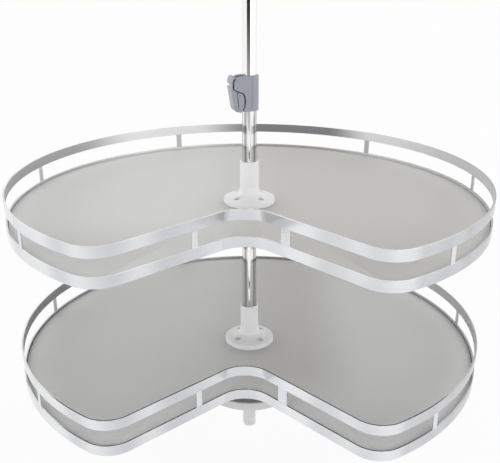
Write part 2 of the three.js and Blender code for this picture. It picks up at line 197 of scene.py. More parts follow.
bpy.context.scene.world = sky()


def lamp(name, width, power, place, aim):
    """A square soft lamp at that place, in metres, turned towards the aim."""
    light = bpy.data.objects.new(name, bpy.data.lights.new(name, "AREA"))
    light.data.size = width
    light.data.energy = power
    light.location = place
    direction = np.array(aim) - np.array(place)
    flat = math.hypot(direction[0], direction[1])
    light.rotation_euler = (math.atan2(flat, -direction[2]), 0, math.atan2(-direction[0], direction[1]))
    bpy.context.scene.collection.objects.link(light)


lamp("side_lamp", width=2.0, power=6, place=(2.6, -0.6, 1.0), aim=(0, 0, 0.4))
lamp("front_lamp", width=2.6, power=14, place=(1.2, -3.9, 1.2), aim=(0, 0, 0.3))


def stage_plane(name, corners, finish):
    """One flat face of the studio through those corners, in metres."""
    mesh = bpy.data.meshes.new(name)
    mesh.from_pydata(corners, [], [range(len(corners))])
    mesh.materials.append(finish)
    plane = bpy.data.objects.new(name, mesh)
    bpy.context.scene.collection.objects.link(plane)
    return plane


def pale_floor():
    """Pale grey floor, seen mostly as plain white paper, which keeps a part of the shadow."""
    finish = Finish(bpy.data.materials.new("pale_floor"))
    place = finish.place()
    tint = finish.colours(finish.cloud(place, 3), rgb(220, 220, 220), rgb(225, 225, 225))
    matt = finish.node("ShaderNodeBsdfDiffuse", inputs={"Color": tint})
    paper = finish.node("ShaderNodeEmission", inputs={"Color": (1, 1, 1, 1), "Strength": 1.0})
    share = seen_by_eye(finish) * 0.95
    return finish.close(finish.node("ShaderNodeMixShader", inputs={0: share, 1: matt, 2: paper}))


floor_reach = 60
floor_corners = [(x * floor_reach, y * floor_reach, 0) for x, y in ((-1, -1), (1, -1), (1, 1), (-1, 1))]
stage_plane("floor", floor_corners, pale_floor())


def dark_cloth():
    """Charcoal cloth that hangs in front of a pale wall and fades into it towards the floor."""
    finish = Finish(bpy.data.materials.new("dark_cloth"))
    _, _, height = finish.parts(finish.place())
    tint = finish.colours(height.ramp(0, 0.68), rgb(196, 196, 196), rgb(44, 44, 46))
    return finish.close(finish.node("ShaderNodeEmission", inputs={"Color": tint, "Strength": 1.0}))


screen_left, screen_right, screen_y = -1.98, 0.78, -2.6
screen_foot, screen_top = 0.001, 1.1
screen = stage_plane(
    "dark_screen",
    [
        (screen_left, screen_y, screen_foot), (screen_right, screen_y, screen_foot),
        (screen_right, screen_y, screen_top), (screen_left, screen_y, screen_top),
    ],
    dark_cloth(),
)
screen.visible_camera = False
screen.visible_diffuse = False
screen.visible_shadow = False
screen.visible_transmission = False


# ---- Floor bearing --------------------------------------------------------------------------------
# One white moulding of glass-filled nylon: a pin of the pole's diameter that goes down through the
# cupboard's floor, a dished disc screwed to that floor, and a pivot that the pole turns on. Sizes
# here and below are in millimetres from the end of the pin, with Z along the pole.

diagonal = math.sqrt(0.5)
diagonals = diagonal * np.array([(1, 1), (-1, 1), (-1, -1), (1, -1)])


def extent(node):
    """The lowest and the highest corner of that solid's box, in millimetres."""
    return np.round(1000 * np.array(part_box(node)), 1)


def rounded(corners, closed=True, steps=4):
    """A profile through corners (x, y, radius). Each corner becomes a fillet: points centre + radius
    (cos a, sin a), with a in equal steps between the two tangent points, and one more point a little
    way along each straight side, so that the sides keep flat shading."""
    corners = np.asarray(corners, float)
    path = []
    for k, (x, y, radius) in enumerate(corners):
        corner = np.array((x, y))
        if radius == 0 or (not closed and k in (0, len(corners) - 1)):
            path.append(corner)
            continue
        back = corners[k - 1, :2] - corner
        ahead = corners[(k + 1) % len(corners), :2] - corner
        back, ahead = back / np.linalg.norm(back), ahead / np.linalg.norm(ahead)
        half = np.arccos(np.clip(back @ ahead, -1, 1)) / 2
        middle = (back + ahead) / np.linalg.norm(back + ahead)
        centre = corner + middle * radius / np.sin(half)
        start, end = corner + back * radius / np.tan(half), corner + ahead * radius / np.tan(half)
        first = np.arctan2(*(start - centre)[::-1])
        sweep = (np.arctan2(*(end - centre)[::-1]) - first + np.pi) % (2 * np.pi) - np.pi
        angles = first + sweep * np.linspace(0, 1, steps + 1)
        fillet = centre + radius * np.stack([np.cos(angles), np.sin(angles)], axis=-1)
        path += [start + back * radius * 0.2, *fillet, end + ahead * radius * 0.2]
    return np.array(path)


def denser(profile, low, high, spacing):
    """The profile with points added so that, between those two radii, none lie further apart."""
    pieces = []
    for a, b in zip(profile, np.roll(profile, -1, axis=0)):
        inside = min(a[0], b[0]) < high and max(a[0], b[0]) > low and abs(a[0] - b[0]) > spacing
        count = int(np.ceil(abs(a[0] - b[0]) / spacing)) if inside else 1
        pieces.append(a + (b - a) * np.linspace(0, 1, count, endpoint=False)[:, None])
    return np.concatenate(pieces)


def all_round(step):
    """Angles all round, in degrees, in equal steps."""
    return np.arange(0, 360, step)


def gathered(spread, fine):
    """Angles all round, in degrees: steps of 3, and fine ones within spread of each diagonal."""
    near = np.arange(-spread, spread + fine / 2, fine)
    close = all_round(90)[:, None] + 45 + near
    return np.unique(np.round(np.concatenate([all_round(3), close.ravel()]), 3))


def turned(profile, angles):
    """A surface of revolution: point (i, j) is (r_j cos a_i, r_j sin a_i, z_j), with a in degrees."""
    angles = np.radians(angles)[:, None]
    radius, height = np.asarray(profile, float).T
    return np.stack(np.broadcast_arrays(radius * np.cos(angles), radius * np.sin(angles), height), axis=-1)


def sunk(points, circle, flat, floor, slope, face):
    """Sinks a countersunk hole at each diagonal of that circle into the face between two heights:
    z = min(z, floor + slope * (d - flat)), with d the distance from the hole's axis."""
    away = np.linalg.norm(points[..., None, :2] - circle * diagonals, axis=-1).min(axis=-1)
    dip = floor + slope * np.maximum(away - flat, 0)
    on_face = (points[..., 2] > face[0]) & (points[..., 2] < face[1])
    points[..., 2] = np.where(on_face, np.minimum(points[..., 2], dip), points[..., 2])
    return points


def grid_faces(points, loops):
    """The faces of a grid: (i, j), (i+1, j), (i+1, j+1), (i, j+1), looped along the sides that close."""
    rows, columns = points.shape[:2]
    i = np.arange(rows - (not loops[0]))[:, None]
    j = np.arange(columns - (not loops[1]))[None, :]
    corners = [(i, j), (i + 1, j), (i + 1, j + 1), (i, j + 1)]
    numbers = [np.broadcast_arrays(a % rows * columns + b % columns)[0] for a, b in corners]
    return np.stack(numbers, axis=-1).reshape(-1, 4)


def make_piece(name, shells, finish, body, nodes, along=None):
    """One piece from shells of (points in millimetres, faces). Doubled points at poles are merged,
    faces are turned outwards, and edges of more than 33 degrees stay sharp. along gives each face
    corner's place on a strip, in metres, as the piece's UV map."""
    mesh = bpy.data.meshes.new(name)
    starts = np.cumsum([0] + [points.size // 3 for points, _ in shells])
    every = np.concatenate([points.reshape(-1, 3) for points, _ in shells]) / 1000
    faces = [tuple(np.asarray(face) + start) for (_, part), start in zip(shells, starts) for face in part]
    mesh.from_pydata(every, [], faces)
    if along is not None:
        mesh.uv_layers.new(name="strip").data.foreach_set("uv", along.ravel())
    shell = bmesh.new()
    shell.from_mesh(mesh)
    bmesh.ops.remove_doubles(shell, verts=shell.verts, dist=1e-7)
    bmesh.ops.recalc_face_normals(shell, faces=shell.faces)
    shell.to_mesh(mesh)
    shell.free()
    mesh.shade_smooth()
    mesh.set_sharp_from_angle(angle=math.radians(33))
    mesh.materials.append(finish)
    piece = bpy.data.objects.new(name, mesh)
    bpy.context.scene.collection.objects.link(piece)
    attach(piece, body)
    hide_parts(*nodes)


def round_shell(profile, step=3):
    """A closed profile turned about the pole, as a shell: its points and its faces."""
    points = turned(profile, all_round(step))
    return points, grid_faces(points, (True, True))


def white_moulding():
    """White satin plastic: a little uneven in tone and gloss, with the fine skin of its mould."""
    finish = Finish(bpy.data.materials.new("white_moulding"))
    place = finish.place()
    mottle = finish.cloud(place, 22, detail=4)
    skin = finish.cloud(place, 1500, detail=2)
    inputs = {
        "Base Color": finish.colours(mottle, rgb(225, 226, 227), rgb(218, 219, 220)),
        "Roughness": 0.3 + 0.16 * mottle,
        "Normal": finish.bumps(skin, 0.00004, 0.5),
        "Specular IOR Level": 0.45,
    }
    return finish.solid(inputs)


white = white_moulding()
pole_radius = extent("lower_pole_tube")[1, 0]
floor_level = 89        # underside of the disc, on the cupboard's floor
dish_level = 99
rim_level = 105
boss_level, washer_top = extent("thrust_washer")[:, 2]
disc_radius, _, pivot_end = extent("floor_bearing")[1]
boss_radius = 24
pivot_radius = 8
hole_circle = 68
bearing_profile = rounded([
    (0, 0, 0), (pole_radius, 0, 1.4), (pole_radius, floor_level, 0.6), (disc_radius, floor_level, 1.0),
    (disc_radius, rim_level, 2.2), (disc_radius - 5.4, rim_level, 1.6),
    (disc_radius - 6.4, dish_level, 1.6), (boss_radius + 1.4, dish_level, 2.0),
    (boss_radius, boss_level, 1.2), (pivot_radius, boss_level, 0.6),
    (pivot_radius, pivot_end, 1.0), (0, pivot_end, 0),
], closed=False)
bearing = turned(denser(bearing_profile, hole_circle - 8, hole_circle + 8, 0.45), gathered(5.6, 0.35))
dish = (dish_level - 0.5, dish_level + 0.5)
bearing = sunk(bearing, hole_circle, flat=2.6, floor=floor_level + 2, slope=2.2, face=dish)
bearing_shell = (bearing, grid_faces(bearing, (True, False)))
make_piece("floor_disc_and_pin", [bearing_shell], white, "foot", ["floor_bearing"])


# ---- Thrust washer and foot plug ------------------------------------------------------------------
# A white washer lies on the disc's boss. The grey plug that is pressed into the pole turns on it,
# round the pivot, and only the plug's thin flange shows below the tube.

pivot_bore = pivot_radius + 0.3
washer_radius = 14.5
plug_radius = 10.9      # inside the tube
pole_start, lower_tube_top = extent("lower_pole_tube")[:, 2]


def grey_moulding():
    """Blue-grey satin plastic of the small fittings, with a fine spark-eroded grain."""
    finish = Finish(bpy.data.materials.new("grey_moulding"))
    place = finish.place()
    mottle = finish.cloud(place, 60, detail=4)
    grain = finish.cloud(place, 2600, detail=2)
    inputs = {
        "Base Color": finish.colours(mottle, rgb(148, 152, 161), rgb(138, 142, 151)),
        "Roughness": 0.3 + 0.14 * mottle,
        "Normal": finish.bumps(grain, 0.00005, 0.5),
    }
    return finish.solid(inputs)


def plug(tube_end, inward, length):
    """A plug in section. Its flange lies against the tube's end, and its body reaches that length into
    the tube: upwards where inward is 1, downwards where it is -1."""
    flange = tube_end - 3 * inward
    tip = tube_end + length * inward
    return rounded([
        (pivot_bore, flange, 0.3), (pole_radius, flange, 0.6), (pole_radius, tube_end, 0.3),
        (plug_radius, tube_end, 0), (plug_radius, tip, 0.6), (pivot_bore, tip, 0.3),
    ])


grey = grey_moulding()
washer = rounded([
    (pivot_bore, boss_level, 0.3), (washer_radius, boss_level, 0.5),
    (washer_radius, washer_top, 0.5), (pivot_bore, washer_top, 0.3),
])
make_piece("foot_washer", [round_shell(washer)], white, "foot", ["thrust_washer"])
foot_plug = plug(pole_start, inward=1, length=20)
make_piece("foot_plug", [round_shell(foot_plug)], grey, "pole", ["pole_foot_plug"])


# ---- Pole -----------------------------------------------------------------------------------------
# Two steel tubes of one diameter, chromium plated and polished, meet inside the clamp. A thinner
# zinc-plated tube is fixed in the lower one, and the upper one slides on it to fit the cupboard.

def polished_chrome(name, painted_streaks, glancing):
    """Mirror-bright plating: faint draw lines along the tube and wiped marks in the gloss. A tube given
    the stripes has two dark stripes of painted reflection down its front, at fixed places across it.
    glancing is the share of light that the plating keeps where it is seen almost edge on."""
    finish = Finish(bpy.data.materials.new(name))
    lines = finish.cloud(finish.place(scale=(1, 1, 0.004)), 2400, detail=2)
    wiped = finish.cloud(finish.place(scale=(1, 1, 0.3)), 40, detail=5)
    x, _, _ = finish.parts(finish.place())
    # Painted reflection: two dark stripes down the tube's front, at fixed places across it.
    painted_stripe_mask = 2 - abs(x + 0.0065).ramp(0.0005, 0.004) - abs(x - 0.0088).ramp(0.0005, 0.003)
    bright = finish.colours(wiped, rgb(244, 243, 241), rgb(252, 252, 251))
    inputs = {
        "Base Color": finish.colours(painted_stripe_mask * painted_streaks, bright, rgb(172, 172, 174)),
        "Metallic": 1.0,
        "Specular Tint": (glancing, glancing, glancing, 1),
        "Roughness": 0.03 + 0.05 * wiped,
        "Normal": finish.bumps(lines, 0.000004, 0.5),
    }
    return finish.solid(inputs)


def zinc_plate():
    """Dull silver plating with small pale crystals."""
    finish = Finish(bpy.data.materials.new("zinc_plate"))
    place = finish.place()
    crystals = finish.node("ShaderNodeTexVoronoi", inputs={"Vector": place, "Scale": 420}, output="Color")
    spangle = finish.node("ShaderNodeRGBToBW", inputs={"Color": crystals})
    inputs = {
        "Base Color": finish.colours(spangle, rgb(186, 188, 192), rgb(204, 206, 208)),
        "Metallic": 1.0,
        "Roughness": 0.3 + 0.14 * spangle,
        "Normal": finish.bumps(finish.cloud(place, 900), 0.00001, 0.4),
    }
    return finish.solid(inputs)


def tube(outer, inner, low, high):
    """The wall of a tube in section, with its cut edges lightly broken."""
    return rounded([(inner, low, 0.3), (outer, low, 0.4), (outer, high, 0.4), (inner, high, 0.3)])


upper_chrome = polished_chrome("polished_chrome", painted_streaks=0, glancing=0.9)
lower_chrome = polished_chrome("chrome_with_painted_streaks", painted_streaks=1, glancing=0.3)
zinc = zinc_plate()
pole_bore = 11
slide_radius, slide_bore = 10.8, 9.3        # of the inner tube
pole_joint, pole_end = extent("upper_pole_tube")[:, 2]
lower_tube = tube(pole_radius, pole_bore, pole_start, lower_tube_top)
inner_tube = tube(slide_radius, slide_bore, *extent("inner_pole_tube")[:, 2])
upper_tube = tube(pole_radius, pole_bore, pole_joint, pole_end)
for name, section, metal, body, slot in (
    ("lower", lower_tube, lower_chrome, "pole", "pole_chrome"),
    ("inner", inner_tube, zinc, "pole", "zinc_steel"),
    ("upper", upper_tube, upper_chrome, "pole_top", "pole_chrome"),
):
    shell = round_shell(section, step=2)
    make_piece(f"pole_{name}_tube", [shell], metal, body, [f"{name}_pole_tube"])


# ---- Tray rails -----------------------------------------------------------------------------------
# Each tray's rail is two flat steel strips bent on edge round the board, one above the other, with
# short flat posts welded between them. A thin lip inside the lower one carries the board. The whole
# rail is plated after welding.

tray_radius = 424.4
front_edge = 120        # from the pole's axis to each straight front edge, which runs at 45 degrees
corner_radius = 51      # of the strip round both front corners, and in the bottom of the notch
straight_end = math.sqrt((tray_radius - corner_radius) ** 2 - (front_edge - corner_radius) ** 2)


def arc(centre, radius, start, end, step):
    """Points centre + radius (cos a, sin a), with a in equal steps, no wider than step, in degrees."""
    angles = np.radians(np.linspace(start, end, int(np.ceil(abs(end - start) / step)) + 1))
    return np.asarray(centre) + radius * np.stack([np.cos(angles), np.sin(angles)], axis=-1)


def tray_line(inset):
    """The tray's outline, moved in by inset: the notch's arc, the right corner's arc, the large arc
    round the back and the left corner's arc. They keep their centres and share their tangents."""
    offset = front_edge - corner_radius
    x = diagonal * (straight_end - offset)
    y = -diagonal * (straight_end + offset)
    end = math.degrees(math.atan2(y, x))
    notch = (0, -(front_edge + corner_radius) / diagonal)
    return np.concatenate([
        arc(notch, corner_radius + inset, 135, 45, 3),
        arc((x, y), corner_radius - inset, -135, end, 3),
        arc((0, 0), tray_radius - inset, end, 180 - end, 1.5)[1:-1],
        arc((-x, y), corner_radius - inset, 180 - end, 315, 3),
    ])


def strip_shell(section):
    """A flat strip bent along the tray's outline: point (i, j) is the outline's point i, moved in by
    the section's inset j, at its height j. Also each face corner's place along and across the strip."""
    section = np.asarray(section, float)
    lines = np.stack([tray_line(inset) for inset in section[:, 0]], axis=1)
    heights = np.broadcast_to(section[:, 1], lines.shape[:2])
    points = np.concatenate([lines, heights[..., None]], axis=-1)

    def travelled(path):
        """The way along a path to each of its points and back to the first, in metres."""
        steps = np.linalg.norm(np.roll(path, -1, axis=0) - path, axis=-1)
        return np.concatenate([[0], np.cumsum(steps)]) / 1000

    along, across = travelled(tray_line(0)), travelled(section)
    i, j = np.meshgrid(np.arange(len(lines)), np.arange(len(section)), indexing="ij")
    corners = [(i, j), (i + 1, j), (i + 1, j + 1), (i, j + 1)]
    places = np.stack([np.stack([along[a], across[b]], axis=-1) for a, b in corners], axis=2)
    return (points, grid_faces(points, (True, True))), places.reshape(-1, 2)


def satin_chrome():
    """Plating over strip from the rolling mill: bright outside, with fine rolling lines and soft clouds
    of gloss, and painted shade towards the right end and along the left straight edge. The inner side
    carries painted dark reflections, darkest right of the middle of the back, then at both sides, and
    painted shade low, on the lower tray."""
    finish = Finish(bpy.data.materials.new("satin_chrome"))
    lines = finish.cloud(finish.place("UV", (6, 2400, 1)), 1, detail=3)
    cloud = finish.cloud(finish.place("UV", (14, 60, 1)), 1, detail=4)
    tone = finish.cloud(finish.place("UV", (11, 3, 1)), 1, detail=1)
    _, across, _ = finish.parts(finish.place("UV"))
    x, _, z = finish.parts(finish.place())
    inside = across.ramp(0.0215, 0.0235)        # past the top edge and the outer face
    # Painted shade: the outer face darkens towards the right end and along the left straight edge.
    right_end_shade = x.ramp(0.236, 0.256) * 0.27 + x.ramp(0.28, 0.46) * 0.73
    left_edge_shade = (0 - x).ramp(0, 0.05) * (1 - (0 - x).ramp(0.2, 0.24)) * 0.15
    bright = finish.colours(tone.ramp(0.3, 0.7), rgb(212, 213, 216), rgb(235, 236, 238))
    outer = finish.colours(right_end_shade + left_edge_shade, bright, rgb(150, 151, 155))
    # Painted reflection: the inner side is darkest right of the middle of the back, then at both sides.
    back = x.ramp(-0.14, 0) * (1 - x.ramp(0.16, 0.26))
    sides = x.ramp(0.28, 0.42) * 0.35 + (0 - x).ramp(0.26, 0.37) * 0.75
    lower_strip = across.ramp(0.043, 0.045)     # the upper one is not so long in section
    # Painted shade: the lower tray's inner side is darker, and the lip less so.
    dark = (back + sides + (1 - z.ramp(0.3, 0.42)) * 0.2) * (1 - 0.6 * lower_strip)
    inner = finish.colours(dark, rgb(252, 252, 253), rgb(158, 159, 162))
    inputs = {
        "Base Color": finish.colours(inside, outer, inner),
        "Metallic": 1.0,
        "Roughness": 0.1 + 0.06 * cloud + 0.04 * lines + inside * 0.3,
        "Normal": finish.bumps(lines, 0.000006, 0.4),
    }
    return finish.solid(inputs)


def welded_chrome():
    """The same plating on the small posts, which have no long rolling lines."""
    finish = Finish(bpy.data.materials.new("welded_chrome"))
    cloud = finish.cloud(finish.place(), 160, detail=4)
    inputs = {
        "Base Color": finish.colours(cloud, rgb(222, 223, 226), rgb(232, 233, 235)),
        "Metallic": 1.0,
        "Roughness": 0.2 + 0.12 * cloud,
        "Normal": finish.bumps(cloud, 0.000004, 0.4),
    }
    return finish.solid(inputs)


rail = satin_chrome()
post_metal = welded_chrome()
strip_thickness = 3
strip_height = 18
rail_gap = 28
lip_inset = strip_thickness + 5
lip_thickness = 1.5
trays = {"lower": 179, "upper": 461}
post_width, wide_post_width = 11.5, 20
post_thickness = 2.2
round_posts = (9.5, 54, 114, 165.5, 216.4, 315.8)       # degrees from +X
straight_posts = (      # side, distance back from the corner's arc, width
    (-1, 140.9, post_width),
    (1, 159.7, wide_post_width),
)


def post_places():
    """Middle, turn about Z and width of each post: on the large arc, then one on each straight edge."""
    middle = tray_radius - strip_thickness / 2
    turns = np.radians(round_posts)
    places = [(middle * math.cos(a), middle * math.sin(a), a + math.pi / 2, post_width) for a in turns]
    offset = front_edge - strip_thickness / 2
    for side, back, width in straight_posts:
        along = straight_end - back
        x, y = side * diagonal * (along - offset), -diagonal * (along + offset)
        places.append((x, y, -side * math.pi / 4, width))
    return places


def post_shell(x, y, turn, width, low, high):
    """A flat bar on end: its rounded section, turned and carried from low to high. It spreads by one
    part in twenty at each end, as the weld does."""
    half, thick = width / 2, post_thickness / 2
    section = rounded([(-half, -thick, 0.5), (half, -thick, 0.5), (half, thick, 0.5), (-half, thick, 0.5)])
    spread = np.array((1.05, 1.02, 1, 1, 1.02, 1.05))[:, None]
    heights = np.array((low, low + 0.6, low + 1.4, high - 1.4, high - 0.6, high))[:, None]
    across, through = section[:, 0] * spread, section[:, 1] * spread
    points = np.stack(np.broadcast_arrays(
        x + across * math.cos(turn) - through * math.sin(turn),
        y + across * math.sin(turn) + through * math.cos(turn),
        heights,
    ), axis=-1)
    return closed_stack(points)


def closed_stack(points):
    """The faces of loops stacked one on another, with a lid on the first and on the last."""
    rows, count = points.shape[:2]
    lids = [range(count), range((rows - 1) * count, rows * count)]
    return points, [*grid_faces(points, (False, True)).tolist(), *map(list, lids)]


def strip_section(low, foot):
    """The strip in section, from its inner top corner over the outer face to its foot."""
    top = low + strip_height
    return rounded([(strip_thickness, top, 0.35), (0, top, 0.35), (0, low, 0.5), *foot])


for tray, level in trays.items():
    body = f"{tray}_tray"
    upper_level = level + strip_height + rail_gap
    lip = [
        (lip_inset, level, 0.4), (lip_inset, level + lip_thickness, 0.4),
        (strip_thickness, level + lip_thickness, 0.3),
    ]
    strips = {
        "lower": strip_section(level, lip),
        "upper": strip_section(upper_level, [(strip_thickness, upper_level, 0.5)]),
    }
    for name, section in strips.items():
        shell, places = strip_shell(section)
        node = f"{tray}_rail_{name}_band"
        make_piece(f"{tray}_tray_{name}_strip", [shell], rail, body, [node], places)
    for number, place in enumerate(post_places(), start=1):
        shell = post_shell(*place, level + strip_height, upper_level)
        node = f"{tray}_rail_post_{number}"
        make_piece(f"{tray}_tray_post_{number}", [shell], post_metal, body, [node])


# ---- Tray boards ----------------------------------------------------------------------------------
# Each tray is a 10.5 mm chipboard panel with a dark grey laminate below, and on top a paler woven
# sheet with small raised threads that keeps goods from slipping. Both are cut to the rail's outline.

board_inset = strip_thickness + 0.3
sheet_inset = board_inset + 0.9
board_hole = 17.05      # radius
board_top = lip_thickness + 10.5        # above the rail's underside
tray_surface = board_top + 1.5


def board_shell(inset, low, high, edge):
    """A panel with a round hole: point (i, j) lies on the ray from the axis to the outline's point i,
    a share f_j of the way from the hole's edge to the outline, at height z_j."""
    outline = tray_line(inset)
    distance = np.linalg.norm(outline, axis=-1, keepdims=True)
    hole = outline / distance * board_hole
    section = np.array([
        (0, low), (0.5, low), (1, low), (1, high - edge),
        (1, high - edge / 3), (1, high), (0.5, high), (0, high),
    ])
    short = np.array((0, 0, 0, 0, edge / 3, edge, edge, 0))
    share = section[:, 0][None, :, None]
    rim = outline[:, None, :] * (1 - short[None, :, None] / distance[:, None, :])
    flat = hole[:, None, :] * (1 - share) + rim * share
    heights = np.broadcast_to(section[:, 1], flat.shape[:2])
    points = np.concatenate([flat, heights[..., None]], axis=-1)
    return points, grid_faces(points, (True, True))


def woven_sheet():
    """Plain weave: threads 3.6 mm apart both ways, each a hump that rises where it passes over. Painted
    shade darkens the upper sheet on its right and a little at its front corners, and the lower one just
    to the right of the pole, leaving the lower one palest at its front corners."""
    finish = Finish(bpy.data.materials.new("woven_sheet"))
    x, y, z = finish.parts(finish.place())
    upper = z.ramp(0.3, 0.4)
    front = (0 - y).ramp(0.1, 0.25)
    right = x.ramp(-0.14, 0.08)
    # Painted shade: darker on the upper sheet's right and front corners, and on the lower sheet just right
    # of the pole.
    painted_shade_above = 0.22 + 0.74 * right * (1 - 0.25 * x.ramp(0.2, 0.34)) + 0.3 * front * (1 - right)
    painted_shade_below = (0.22 + 0.7 * right - 0.82 * x.ramp(0.1, 0.22)) * (1 - front)
    painted_shade = upper * painted_shade_above + (1 - upper) * painted_shade_below
    pitch = 0.0036
    across, down = (x * (math.pi / pitch)).sine(), (y * (math.pi / pitch)).sine()
    over = across * down * 0.5 + 0.5
    warp, weft = abs(across) ** 0.6, abs(down) ** 0.6
    height = over * warp + (1 - over) * weft
    blotch = finish.cloud(finish.place(), 9, detail=3)
    fibre = finish.cloud(finish.place(), 3500, detail=2)
    mottled = finish.colours(blotch, rgb(184, 186, 186), rgb(192, 193, 193))
    valleys = finish.colours(painted_shade, mottled, rgb(169, 169, 168))
    crests = finish.colours(painted_shade, rgb(219, 220, 220), rgb(198, 197, 196))
    inputs = {
        "Base Color": finish.colours(height * 0.7 + fibre * 0.3, valleys, crests),
        "Roughness": 0.62 + 0.2 * fibre,
        "Normal": finish.bumps(height, 0.0002, 0.5),
        "Specular IOR Level": 0.35,
    }
    return finish.solid(inputs)


def plain_laminate():
    """Dark grey melamine paper, with a faint pearl pattern pressed into it."""
    finish = Finish(bpy.data.materials.new("plain_laminate"))
    place = finish.place()
    pearl = finish.cloud(place, 700, detail=3)
    cloud = finish.cloud(place, 12, detail=3)
    inputs = {
        "Base Color": finish.colours(cloud, rgb(110, 111, 113), rgb(100, 101, 104)),
        "Roughness": 0.42 + 0.14 * pearl,
        "Normal": finish.bumps(pearl, 0.00006, 0.5),
    }
    return finish.solid(inputs)


woven = woven_sheet()
laminate = plain_laminate()
for tray, level in trays.items():
    body = f"{tray}_tray"
    panel = board_shell(board_inset, level + lip_thickness, level + board_top, 0.4)
    make_piece(f"{tray}_tray_panel", [panel], laminate, body, [f"{tray}_tray_board"])
    sheet = board_shell(sheet_inset, level + board_top, level + tray_surface, 0.5)
    make_piece(f"{tray}_tray_woven_sheet", [sheet], woven, body, [f"{tray}_tray_mat"])


# ---- Hubs -----------------------------------------------------------------------------------------
# A white flange with a tall sleeve stands on each tray. Four screws with cross recesses pull it
# against a zinc-plated plate under the board, and a socket screw at the back of the sleeve holds
# the tray at its height on the pole.

sleeve_bore = pole_radius + 0.2
sleeve_radius = 16.75
sleeve_height = 77      # above the tray's surface
flange_radius = 46
screw_circle = 30
screw_rise = 13.8       # of the head's top above the tray's surface
head_radius = 4.3
shank_radius = 2.25


def hub_section(surface):
    """The sleeve's wall from its foot in the board's hole to its top, with the flange round it, which
    has a chamfer under its edge and a dome that curves up to the sleeve."""
    foot, top = surface - 17, surface + sleeve_height
    return rounded([
        (sleeve_bore, foot, 0.4), (sleeve_radius, foot, 0.6), (sleeve_radius, surface, 0),
        (flange_radius - 2, surface, 0.3), (flange_radius, surface + 1.6, 0.8),
        (flange_radius, surface + 10, 2.6), (30, surface + 13, 12), (19.5, surface + 18.5, 7),
        (sleeve_radius, surface + 30, 14), (sleeve_radius, top, 1.3), (sleeve_bore, top, 0.5),
    ], steps=6)


def hub_shell(surface):
    """The hub's section turned about the pole, with a seat sunk round each screw."""
    section = denser(hub_section(surface), screw_circle - 7, screw_circle + 7, 0.4)
    points = turned(section, gathered(12, 0.75))
    seat = surface + 10.9
    points = sunk(points, screw_circle, flat=4.6, floor=seat, slope=3.0, face=(seat + 0.05, surface + 17))
    return points, grid_faces(points, (True, True))


def screw_shell(x, y, low, top):
    """A domed screw: its section turned about its axis at (x, y), with a cross cut into the head where
    the point lies within a millimetre of either middle line. The dome falls by 0.35 (r / 3.9)^2."""
    under_head = top - 2.6
    shank = rounded([
        (0, low, 0), (shank_radius, low, 0.3),
        (shank_radius, under_head, 0.2), (head_radius, under_head, 0.3),
    ], closed=False)
    shoulder = head_radius - 0.4
    radius = np.linspace(shoulder - 0.2, 0, 20)
    dome = np.stack([radius, top - 0.35 * (radius / shoulder) ** 2], axis=-1)
    section = np.concatenate([shank, [(head_radius, top - 0.9), (shoulder, top - 0.35)], dome])
    points = turned(section, all_round(5))
    narrow, wide = np.moveaxis(np.sort(abs(points[..., :2]), axis=-1), -1, 0)
    cross = (narrow < 1.0) & (wide < 2.4) & (points[..., 2] > top - 0.6)
    points[..., 2] -= np.where(cross, 3.4 - 0.7 * wide, 0)
    return points + (x, y, 0), grid_faces(points, (True, False))


def enamelled_steel(name, top):
    """White enamel, with painted shade in the cross: dark grey below the head's top."""
    finish = Finish(bpy.data.materials.new(name))
    _, _, height = finish.parts(finish.place())
    # Painted shade in the cross recess: dark grey below the head's top.
    painted_recess_shade = 1 - height.ramp((top - 1.3) / 1000, (top - 0.7) / 1000)
    inputs = {
        "Base Color": finish.colours(painted_recess_shade, rgb(222, 223, 224), rgb(58, 58, 60)),
        "Roughness": 0.3 + 0.2 * painted_recess_shade,
    }
    return finish.solid(inputs)


def set_screw_shell(height):
    """A short grub screw that points at the pole from the back: its section turned, laid along Y."""
    tip, end, radius, socket = pole_radius + 0.3, pole_radius + 3.6, 2.5, 1.3
    section = rounded([
        (0, tip, 0), (radius, tip, 0.3), (radius, end, 0.3),
        (socket, end, 0.1), (socket, end - 1.5, 0.1), (0, end - 1.5, 0),
    ], closed=False)
    points = turned(section, all_round(10))
    x, y, z = np.moveaxis(points, -1, 0)
    return np.stack([x, z, height - y], axis=-1), grid_faces(points, (True, False))


for tray, level in trays.items():
    body = f"{tray}_tray"
    surface = level + tray_surface
    hub = hub_shell(surface)
    make_piece(f"{tray}_hub_flange_and_sleeve", [hub], white, body, [f"{tray}_hub"])
    plate_foot, plate_top = level - 1.5, level + lip_thickness
    plate = round_shell(rounded([
        (board_hole, plate_foot, 0.3), (flange_radius, plate_foot, 0.6),
        (flange_radius, plate_top, 0.6), (board_hole, plate_top, 0.3),
    ]))
    make_piece(f"{tray}_hub_plate", [plate], zinc, body, [f"{tray}_hub_backing_plate"])
    screw_top = surface + screw_rise
    enamel = enamelled_steel(f"{tray}_screw_enamel", screw_top)
    for number, (x, y) in enumerate(screw_circle * diagonals, start=1):
        shell = screw_shell(x, y, plate_foot - 0.1, screw_top)
        node = f"{tray}_hub_screw_{number}"
        make_piece(f"{tray}_hub_cross_screw_{number}", [shell], enamel, body, [node])
    grub_screw = set_screw_shell(surface + 55)
    make_piece(f"{tray}_hub_grub_screw", [grub_screw], zinc, body, [f"{tray}_hub_set_screw"])


# ---- Clamp ----------------------------------------------------------------------------------------
# A grey plastic collar with two ears grips the joint of the two tubes. Its cam lever turns on a pin
# between the ears and wraps the collar's open side. It is drawn with the lever towards -X and its
# foot at zero, then turned 17 degrees towards the front and lifted to its place.

